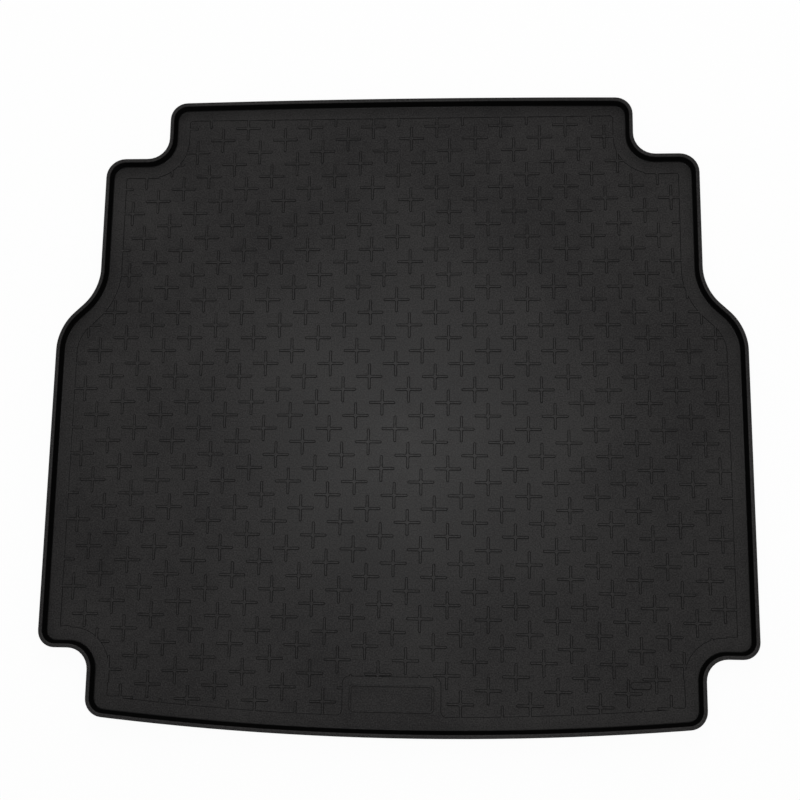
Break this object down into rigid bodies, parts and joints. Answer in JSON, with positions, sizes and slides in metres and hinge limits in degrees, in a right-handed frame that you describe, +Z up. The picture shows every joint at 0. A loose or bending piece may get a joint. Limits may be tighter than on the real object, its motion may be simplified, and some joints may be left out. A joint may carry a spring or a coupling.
{
  "type": "car boot liner",
  "caption": "One-piece moulded rubber boot liner: a shallow shaped tray with an upstanding lip, a plain margin and a recessed field of cross-shaped ribs.",
  "frame": {"origin": "on the boot floor, under the middle of the tray's bounding box", "axes": "+X across the car to the right, +Y along the car towards the rear seats, +Z up out of the tray"},
  "size_m": [1.0506, 0.969, 0.014],
  "materials": {
    "rubber": "matt moulded black rubber with a very fine grain"
  },
  "bodies": {
    "root": {"boot_liner": "rubber"}
  },
  "joints": []
}
